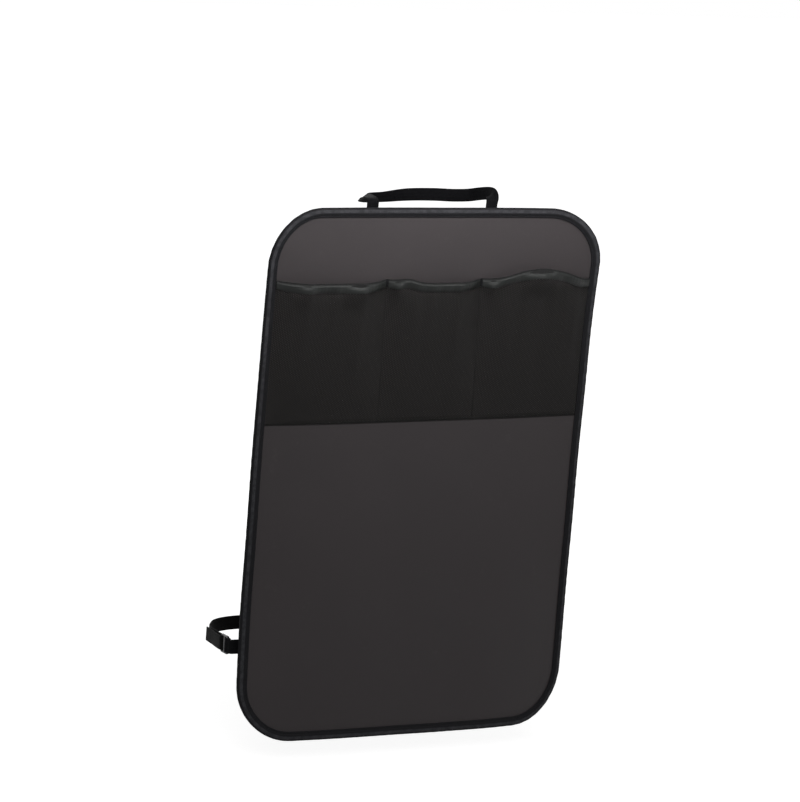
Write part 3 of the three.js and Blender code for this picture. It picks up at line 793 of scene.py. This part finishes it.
def loop_tail(x):
    """Keys of one end of the loop: sewn to the sheet's back, then up over the tape to the top edge."""
    on_sheet = HALF_SHEET + PIECE_GAP + LOOP_THICKNESS / 2
    on_tape = TAPE_OUTER + TAPE_CROWN + PIECE_GAP + LOOP_THICKNESS / 2
    clear = TAPE_WIDTH + LOOP_TAPE_GAP
    heights = [(LOOP_TAIL, on_sheet), (clear + LOOP_TAIL_RAMP, on_sheet), (clear, on_tape), (0, on_tape)]
    return [(x, float(sheet_y(x, TOP - down)) + offset, TOP - down, 1, 0, 0) for down, offset in heights]


def make_headrest_strap(material):
    """The webbing leaves the top edge, turns on edge past both posts and crosses behind them."""
    left, right, far, z, drift = LOOP_LEFT, LOOP_RIGHT, LOOP_DEPTH, LOOP_HEIGHT, LOOP_DRIFT
    route = [
        (left, 0.08, 4, 1, 0, 0),
        (left, 0.16, 6.4, 1, 0, 0),
        (left + 0.3 * drift, 0.36, 6.2, 0.98, 0, 0.2),
        (left + 1.6 * drift, 0.58, 4, 0.85, -0.1, 0.5),
        (left + 3.5 * drift, 0.8, 1.5, 0.6, -0.45, 0.7),
        (left + 7 * drift, 0.94, 0, 0.25, -0.5, 0.82),
        (left + 14 * drift, 0.99, 0.3, 0, -0.5, 0.87),
        (left + 26 * drift, 1, 3.3, 0, -0.1, 1),
        (right - 17 * drift, 1, 3.6, 0, 0, 1),
        (right - 7 * drift, 0.99, 2.6, 0, 0, 1),
        (right - drift, 0.9, 3.8, 0, 0, 1),
        (right + drift, 0.73, 6.6, 0, 0, 1),
        (right + 2 * drift, 0.52, 9.3, 0, 0, 1),
        (right + 2.2 * drift, 0.32, 10.8, 0.2, 0, 1),
        (right + 1.3 * drift, 0.18, 10, 0.75, 0, 0.65),
        (right + 0.4 * drift, 0.09, 4.5, 1, 0, 0.15),
    ]
    middle = [(x, MIDDLE_Y + share * far, z + rise * MM, *across) for x, share, rise, *across in route]
    keys = [*loop_tail(left), *middle, *loop_tail(right)[::-1]]
    loop, length = strap("headrest_webbing", keys, LOOP_WIDTH, LOOP_THICKNESS)
    finish_piece(loop, material, ["headrest_strap"])


# How far back the lock's first and last bars lie.
LOCK_FIRST_BAR = MIDDLE_Y + float(drape(-WIDTH / 2, WAIST_Z)) + LOCK_SETBACK
LOCK_LAST_BAR = LOCK_FIRST_BAR + 2 * LOCK_PITCH


def wrap_radius(thickness):
    """How far a strap's middle runs from the middle of a square bar that it goes round."""
    return LOCK_BAR * math.sqrt(0.5) + PIECE_GAP + thickness / 2


def wrap(x, y, z, radius, start, end):
    """Keys of a strap that goes round an upright bar, between two angles in degrees."""
    angles = np.radians(np.linspace(start, end, WRAP_KEYS))
    return [(x + radius * math.cos(a), y + radius * math.sin(a), z, 0, 0, 1) for a in angles]


def sewn_layer(start, end, offset):
    """Keys of one layer of a strap that is sewn behind the tape."""
    places = evenly(start, end, SEWN_STEP)
    return [(x, float(sheet_y(x, WAIST_Z)) + offset, WAIST_Z, 0, 0, 1) for x in places]


def make_tab(material):
    """The tab leaves the sheet's edge, turns back beside the seat, and returns round the lock's first bar."""
    half_step = (TAB_THICKNESS + PIECE_GAP) / 2
    near = TAPE_OUTER + TAPE_CROWN + PIECE_GAP + TAB_THICKNESS / 2
    edge = -WIDTH / 2
    inner = edge + TAB_TAIL
    turn_x = LOCK_X + TAB_TURN
    turn_y = float(sheet_y(edge, WAIST_Z)) + near + half_step + TAB_TURN
    keys = [
        *sewn_layer(inner, edge, near),
        *wrap(turn_x, turn_y, WAIST_Z, TAB_TURN + half_step, -90, -180),
        *wrap(LOCK_X, LOCK_FIRST_BAR, WAIST_Z, wrap_radius(TAB_THICKNESS), 180, 0),
        *wrap(turn_x, turn_y, WAIST_Z, TAB_TURN - half_step, -180, -90),
        *sewn_layer(edge, inner, near + 2 * half_step),
    ]
    tab, length = strap("waist_tab", keys, TAB_WIDTH, TAB_THICKNESS)
    finish_piece(tab, material, ["strap_tab"])


def make_seat_strap(material):
    """The elastic doubles back round the lock's last bar and runs round the seat to the right edge."""
    radius = wrap_radius(ELASTIC_THICKNESS)
    beside = LOCK_X + radius
    outside = LOCK_X - radius
    layer = ELASTIC_THICKNESS + PIECE_GAP
    start = LOCK_LAST_BAR
    depth = MIDDLE_Y + WAIST_DEPTH
    right = WIDTH / 2 - RIGHT_INSET
    sewn = TAPE_OUTER + TAPE_CROWN + PIECE_GAP + ELASTIC_THICKNESS / 2
    turn = 0.12 * WAIST_DEPTH
    edge_y = float(sheet_y(right, WAIST_Z))

    def upright(x, y, rise=None):
        share = min(max((y - start) / (depth - start), 0), 1) if rise is None else rise
        return (x, y, WAIST_Z + ELASTIC_RISE * share, 0, 0, 1)

    keys = [
        *(upright(outside + bow * layer, start + share * ELASTIC_TAIL)
          for bow, share in ((1.5, 1), (1.2, 0.75), (0.8, 0.5), (0.2, 0.25))),
        *wrap(LOCK_X, start, WAIST_Z, radius, -180, 0),
        *(upright(beside + bow * layer, start + share * ELASTIC_TAIL)
          for bow, share in ((0.1, 0.25), (-0.1, 0.5), (-0.1, 0.75), (0.3, 1))),
        upright(beside + 0.5 * turn, depth - 1.8 * turn),
        upright(beside + 1.3 * turn, depth - 0.8 * turn),
        upright(beside + 2.6 * turn, depth - 0.2 * turn),
        upright(beside + 5 * turn, depth, 1),
        upright(0, depth + 1.5 * MM, 1),
        upright(right - 5 * turn, depth, 1),
        upright(right - 2.6 * turn, depth - 0.2 * turn, 1),
        upright(right - 1.3 * turn, depth - 0.8 * turn, 1),
        upright(right - 0.4 * turn, depth - 2 * turn, 1),
        upright(right, MIDDLE_Y + 0.6 * WAIST_DEPTH, 0.7),
        upright(right + 1 * MM, MIDDLE_Y + 0.42 * WAIST_DEPTH, 0.3),
        upright(right - 0.4 * MM, edge_y + sewn + 7 * MM, 0),
        upright(right - 3.2 * MM, edge_y + sewn + 2 * MM, 0),
        *sewn_layer(right - 9 * MM, right - RIGHT_TAIL, sewn),
    ]
    elastic, length = strap("seat_elastic", keys, ELASTIC_WIDTH, ELASTIC_THICKNESS)
    finish_piece(elastic, material, ["seat_strap"])


def make_lock(material):
    """The ladder lock: a rounded frame with two slots, each long along the strap and wide across it."""
    opening = TAB_WIDTH + 2 * LOCK_PLAY
    long, wide = 3 * LOCK_BAR + 2 * LOCK_SLOT, opening + 2 * LOCK_SIDE
    curve = bpy.data.curves.new("ladder_lock", "CURVE")
    curve.dimensions = "2D"
    curve.fill_mode = "BOTH"
    curve.extrude = LOCK_BAR / 2 - LOCK_EDGE
    curve.bevel_depth = LOCK_EDGE
    curve.bevel_resolution = 3
    frame_ring = (0, long, wide, LOCK_CORNER, LOCK_EDGE)
    slot_rings = [
        (centre, LOCK_SLOT, opening, LOCK_SLOT_CORNER, -LOCK_EDGE)
        for centre in (-LOCK_PITCH / 2, LOCK_PITCH / 2)
    ]
    for centre, length, width, radius, shrink in [frame_ring, *slot_rings]:
        half_long, half_wide = length / 2 - shrink - radius, width / 2 - shrink - radius
        ring = [
            (centre + sx * half_long + radius * math.cos(math.radians(start + turn)),
             sy * half_wide + radius * math.sin(math.radians(start + turn)))
            for sx, sy, start in ((1, 1, 0), (-1, 1, 90), (-1, -1, 180), (1, -1, 270))
            for turn in range(0, 91, 15)
        ]
        spline = curve.splines.new("POLY")
        spline.points.add(len(ring) - 1)
        for point, place in zip(spline.points, ring):
            point.co = (*place, 0, 1)
        spline.use_cyclic_u = True
    flat = bpy.data.objects.new("ladder_lock_outline", curve)
    bpy.context.scene.collection.objects.link(flat)
    bpy.context.view_layer.update()
    mesh = bpy.data.meshes.new_from_object(flat)
    bpy.data.objects.remove(flat)
    lock = bpy.data.objects.new("ladder_lock", mesh)
    middle = (LOCK_FIRST_BAR + LOCK_LAST_BAR) / 2
    mesh.transform(Matrix(((0, 0, 1, LOCK_X), (1, 0, 0, middle), (0, 1, 0, WAIST_Z), (0, 0, 0, 1))))
    mesh.polygons.foreach_set("use_smooth", [True] * len(mesh.polygons))
    mesh.set_sharp_from_angle(angle=math.radians(40))
    finish_piece(lock, material, ["strap_adjuster"])


# Stitching

def stitches(name, runs, material):
    """One piece of thread: runs hold stitches as rows of start, end and the way out of the cloth."""
    rows = np.concatenate(runs)
    start, end, out = rows[:, 0], rows[:, 1], rows[:, 2]
    along = (end - start) / np.linalg.norm(end - start, axis=1, keepdims=True)
    side = np.cross(along, out)
    columns = []
    for share, lift, size in STITCH_RINGS:
        centre = start + (end - start) * share + out * THREAD_RADIUS * lift
        for turn in np.linspace(0, 2 * math.pi, THREAD_SIDES + 1)[:-1]:
            columns.append(centre + THREAD_RADIUS * size * (side * math.cos(turn) + out * math.sin(turn)))
    points = np.stack(columns, axis=1)
    corners = range(THREAD_SIDES)
    last = THREAD_SIDES * (len(STITCH_RINGS) - 1)
    one = []
    for ring in range(0, last, THREAD_SIDES):
        upper = ring + THREAD_SIDES
        for j in corners:
            following = (j + 1) % THREAD_SIDES
            one.append([ring + j, ring + following, upper + following, upper + j])
    one += [list(corners)[::-1], [last + j for j in corners]]
    stitch_points = last + THREAD_SIDES
    faces = [[stitch_points * i + corner for corner in face] for i in range(len(points)) for face in one]
    finish_piece(mesh_object(name, points, faces), material)


def stitch_line(path, out, pitch=STITCH_PITCH, gap=STITCH_GAP):
    """Stitches along a line of points, evenly spaced."""
    path = np.asarray(path)
    lengths = np.concatenate([[0], np.cumsum(np.linalg.norm(np.diff(path, axis=0), axis=1))])
    count = max(1, round(lengths[-1] / pitch))
    marks = np.arange(count) * lengths[-1] / count

    def on_path(places):
        return np.stack([np.interp(places, lengths, path[:, i]) for i in range(3)], axis=1)

    starts, ends = on_path(marks + gap / 2), on_path(marks + lengths[-1] / count - gap / 2)
    outs = np.repeat(np.array([out], float), count, axis=0)
    return np.stack([starts, ends, outs], axis=1)


def bar_tack(x, z, y_of):
    """A dense zigzag on the visible side. The pitch of a metre makes each leg of it one stitch."""
    places = np.linspace(0, 1, 2 * TACK_TURNS + 1)
    xs = x + TACK_WIDTH * (places - 0.5)
    zs = z + TACK_HEIGHT * (np.arange(2 * TACK_TURNS + 1) % 2 - 0.5)
    path = np.stack([xs, y_of(xs, zs), zs], axis=1)
    legs = zip(path, path[1:])
    return np.concatenate([stitch_line(leg, (0, -1, 0), pitch=1, gap=TACK_GAP) for leg in legs])


def make_tape_stitches(material):
    """A row along the tape's inner edge, on each side of the sheet."""
    stations = outline()
    inset = TAPE_WIDTH - TAPE_SEAM
    x, z = stations[:, 0] + stations[:, 2] * inset, stations[:, 1] + stations[:, 3] * inset
    skin = float(tape_skin(inset))
    runs = []
    for side in (-1, 1):
        path = np.stack([x, sheet_y(x, z) + side * skin, z], axis=1)
        runs.append(stitch_line(np.concatenate([path, path[:1]]), (0, side, 0)))
    stitches("tape_stitches", runs, material)


def make_pocket_stitches(material):
    """Rows along the foot and the dividers, on both sides, and a bar tack over the band at each divider."""

    def front_row(x, z):
        return stitch_line(np.stack([x, net_y(x, z) - NET_THICKNESS / 2, z], axis=1), (0, -1, 0))

    def back_row(x, z):
        return stitch_line(np.stack([x, sheet_y(x, z) + HALF_SHEET, z], axis=1), (0, 1, 0))

    def over_band(x, z):
        return net_y(x, z) - (BAND_THICKNESS + PIECE_GAP + NET_THICKNESS / 2)

    foot_x = evenly(-POCKET_SIDE + ROW_END, POCKET_SIDE - ROW_END, ROW_STEP)
    foot = foot_z(foot_x) + FOOT_ROW
    runs = [front_row(foot_x, foot)]
    for line in (-DIVIDER_X, DIVIDER_X):
        start = foot_z(line) + DIVIDER_ROW
        front = evenly(start, MOUTH_Z - BAND_HEIGHT - ROW_END, ROW_STEP)
        back = evenly(start, MOUTH_Z, ROW_STEP)
        runs += [
            front_row(np.full_like(front, line), front),
            bar_tack(line, TACK_Z, over_band),
            back_row(np.full_like(back, line), back),
        ]
    runs.append(back_row(foot_x, foot))
    stitches("pocket_stitches", runs, material)


def make_strap_stitches(material):
    """A box with a cross on each strap end behind the sheet."""
    on_sheet = HALF_SHEET + PIECE_GAP
    on_tape = TAPE_OUTER + TAPE_CROWN
    tab_x = -WIDTH / 2 + TAB_TAIL / 2
    elastic_x = WIDTH / 2 - RIGHT_INSET - ELASTIC_BOX_IN
    boxes = [
        (LOOP_LEFT, TOP - LOOP_BOX_DROP, LOOP_WIDTH, LOOP_BOX_HEIGHT, on_sheet + LOOP_THICKNESS),
        (LOOP_RIGHT, TOP - LOOP_BOX_DROP, LOOP_WIDTH, LOOP_BOX_HEIGHT, on_sheet + LOOP_THICKNESS),
        (tab_x, WAIST_Z, TAB_TAIL * TAB_BOX_SHARE, TAB_WIDTH, on_tape + 2 * (PIECE_GAP + TAB_THICKNESS)),
        (elastic_x, WAIST_Z, ELASTIC_BOX_WIDTH, ELASTIC_WIDTH, on_tape + PIECE_GAP + ELASTIC_THICKNESS),
    ]
    corners = [(-1, -1), (1, -1), (1, 1), (-1, 1)]
    sides = list(zip(corners, corners[1:] + corners[:1]))
    cross = [(corners[0], corners[2]), (corners[3], corners[1])]
    share = np.linspace(0, 1, 8)
    runs = []
    for x, z, width, height, skin in boxes:
        half_x, half_z = width / 2 - BOX_INSET, height / 2 - BOX_INSET
        for (from_x, from_z), (to_x, to_z) in sides + cross:
            xs = x + half_x * (from_x + (to_x - from_x) * share)
            zs = z + half_z * (from_z + (to_z - from_z) * share)
            path = np.stack([xs, sheet_y(xs, zs) + skin, zs], axis=1)
            runs.append(stitch_line(path, (0, 1, 0), BOX_PITCH, BOX_GAP))
    stitches("strap_stitches", runs, material)


# Studio

CAMERA_PLACE = (-2.2481, -4.2724, 0.5685)
CAMERA_AZIMUTH = 27.67
CAMERA_ELEVATION = 9.70
CAMERA_ROLL = 3.66
CAMERA_LENS = 175.0
FLOOR_DROP = 30 * MM
FLOOR_Z = CAD_BOX[0].z - FLOOR_DROP
FLOOR_HALF = 12.0
FLOOR_GLOW = 0.8
FLOOR_FADE = (0.3, 1.2)
WORLD_LIGHT = 0.18


def make_camera():
    """The camera at the photograph's viewing angle."""
    data = bpy.data.cameras.new("camera")
    data.lens = CAMERA_LENS
    data.sensor_width = 36
    data.clip_end = 60
    camera = bpy.data.objects.new("camera", data)
    azimuth, elevation = math.radians(CAMERA_AZIMUTH), math.radians(CAMERA_ELEVATION)
    look = (
        Matrix.Rotation(-azimuth, 4, "Z")
        @ Matrix.Rotation(math.pi / 2 - elevation, 4, "X")
        @ Matrix.Rotation(math.radians(CAMERA_ROLL), 4, "Z")
    )
    camera.matrix_world = Matrix.Translation(CAMERA_PLACE) @ look
    bpy.context.scene.collection.objects.link(camera)
    bpy.context.scene.camera = camera


def make_light(name, place, size, power, target=(0, -0.05, -0.33), depth=None):
    """A soft light, round, or a strip where it has a depth. The camera doesn't see it."""
    data = bpy.data.lights.new(name, "AREA")
    data.shape = "RECTANGLE" if depth else "DISK"
    data.size = size
    data.size_y = depth or size
    data.energy = power
    light = bpy.data.objects.new(name, data)
    light.location = place
    light.rotation_euler = (Vector(target) - Vector(place)).to_track_quat("-Z", "Y").to_euler()
    light.visible_camera = False
    bpy.context.scene.collection.objects.link(light)


def shown(tree):
    """1 for the rays that show the background: to the camera, in a gloss and through glass. Otherwise 0."""
    rays = tree.nodes.new("ShaderNodeLightPath").outputs
    total = rays["Is Camera Ray"]
    for kind in ("Is Glossy Ray", "Is Transmission Ray"):
        either = tree.nodes.new("ShaderNodeMath")
        either.operation = "MAXIMUM"
        tree.links.new(total, either.inputs[0])
        tree.links.new(rays[kind], either.inputs[1])
        total = either.outputs[0]
    return total


def make_world():
    """A soft grey light on the object, and a white background."""
    world = bpy.data.worlds.new("studio")
    world.use_nodes = True
    bpy.context.scene.world = world
    tree = world.node_tree
    background = tree.nodes["Background"]
    background.inputs["Color"].default_value = (1, 1, 1, 1)
    strength = tree.nodes.new("ShaderNodeMapRange")
    strength.inputs["To Min"].default_value = WORLD_LIGHT
    tree.links.new(shown(tree), strength.inputs["Value"])
    tree.links.new(strength.outputs["Result"], background.inputs["Strength"])


def make_floor():
    """A pale floor below the hanging part. It glows white further out, and keeps the part's shadow."""
    shader = Shader("floor")
    speckle = shader.noise(3.0, 2.0)
    out = shader.node("VectorMath", {0: shader.place}, operation="LENGTH").outputs["Value"]
    glow = shader.spread(out, *FLOOR_FADE, FLOOR_GLOW, 1.0)
    shader.surface(
        Base_Color=shader.mix(speckle, (0.5, 0.5, 0.5, 1), (0.54, 0.54, 0.54, 1)), Roughness=0.9,
        Specular_IOR_Level=0.1, Emission_Color=(1, 1, 1, 1),
        Emission_Strength=shader.math("MULTIPLY", glow, shown(shader.tree)),
    )
    half = FLOOR_HALF
    corners = np.array([(-half, -half, 0), (half, -half, 0), (half, half, 0), (-half, half, 0)])
    floor = mesh_object("floor", corners, [[0, 1, 2, 3]])
    floor.location.z = FLOOR_Z
    floor.data.materials.append(shader.material)
    bpy.context.scene.collection.objects.link(floor)


make_camera()
make_sheet(coated_fabric())
make_tape(binding_tape())
make_net(net())
make_band(elastic_band())
web = webbing()
make_headrest_strap(web)
make_tab(web)
make_lock(plastic())
make_seat_strap(strap_elastic())
sewing = thread()
make_tape_stitches(sewing)
make_pocket_stitches(sewing)
make_strap_stitches(sewing)
make_floor()
make_world()
make_light("key", (-1.3, -2.2, 0.9), 1.4, 22)
make_light("top", (0, -0.30, 0.16), 0.7, 2.7, target=(0, -0.05, -0.04), depth=0.12)
make_light("fill", (1.6, -1.6, -0.3), 1.5, 6)
make_light("back", (0.4, 2.0, 0.9), 1.2, 12)
bpy.context.scene.view_settings.view_transform = "Standard"
